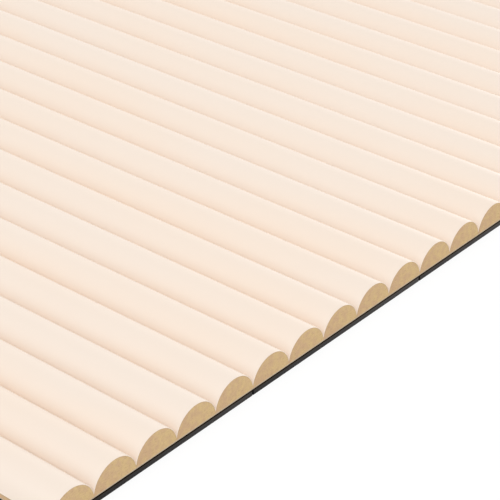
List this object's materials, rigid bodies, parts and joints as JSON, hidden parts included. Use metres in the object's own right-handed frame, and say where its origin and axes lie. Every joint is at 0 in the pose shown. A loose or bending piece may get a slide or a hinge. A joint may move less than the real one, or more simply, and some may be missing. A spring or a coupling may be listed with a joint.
{
  "type": "flexible fluted panel",
  "caption": "Wall or furniture cladding sheet: coated half-round slats lie side by side on a thin film with a soft backing in strips, so that the sheet bends across its flutes.",
  "frame": {"origin": "centre of the back face, on the plane that lies against the wall", "axes": "+X along the flutes, +Y across the flutes, +Z out of the panel's face"},
  "size_m": [2.4, 0.6, 0.0152],
  "materials": {
    "coated_slat": "satin cream coating on the round, raw tan fibreboard on the sawn ends and low sides",
    "carrier_film": "matt black flexible film",
    "backing": "dense dark grey felt, matt"
  },
  "bodies": {
    "root": {"backing_strip_1": "backing", "backing_strip_2": "backing", "backing_strip_3": "backing", "backing_strip_4": "backing", "backing_strip_5": "backing", "carrier_film": "carrier_film", "slat_01": "coated_slat", "slat_02": "coated_slat", "slat_03": "coated_slat", "slat_04": "coated_slat", "slat_05": "coated_slat", "slat_06": "coated_slat", "slat_07": "coated_slat", "slat_08": "coated_slat", "slat_09": "coated_slat", "slat_10": "coated_slat", "slat_11": "coated_slat", "slat_12": "coated_slat", "slat_13": "coated_slat", "slat_14": "coated_slat", "slat_15": "coated_slat", "slat_16": "coated_slat", "slat_17": "coated_slat", "slat_18": "coated_slat", "slat_19": "coated_slat", "slat_20": "coated_slat", "slat_21": "coated_slat", "slat_22": "coated_slat", "slat_23": "coated_slat", "slat_24": "coated_slat", "slat_25": "coated_slat"}
  },
  "joints": []
}
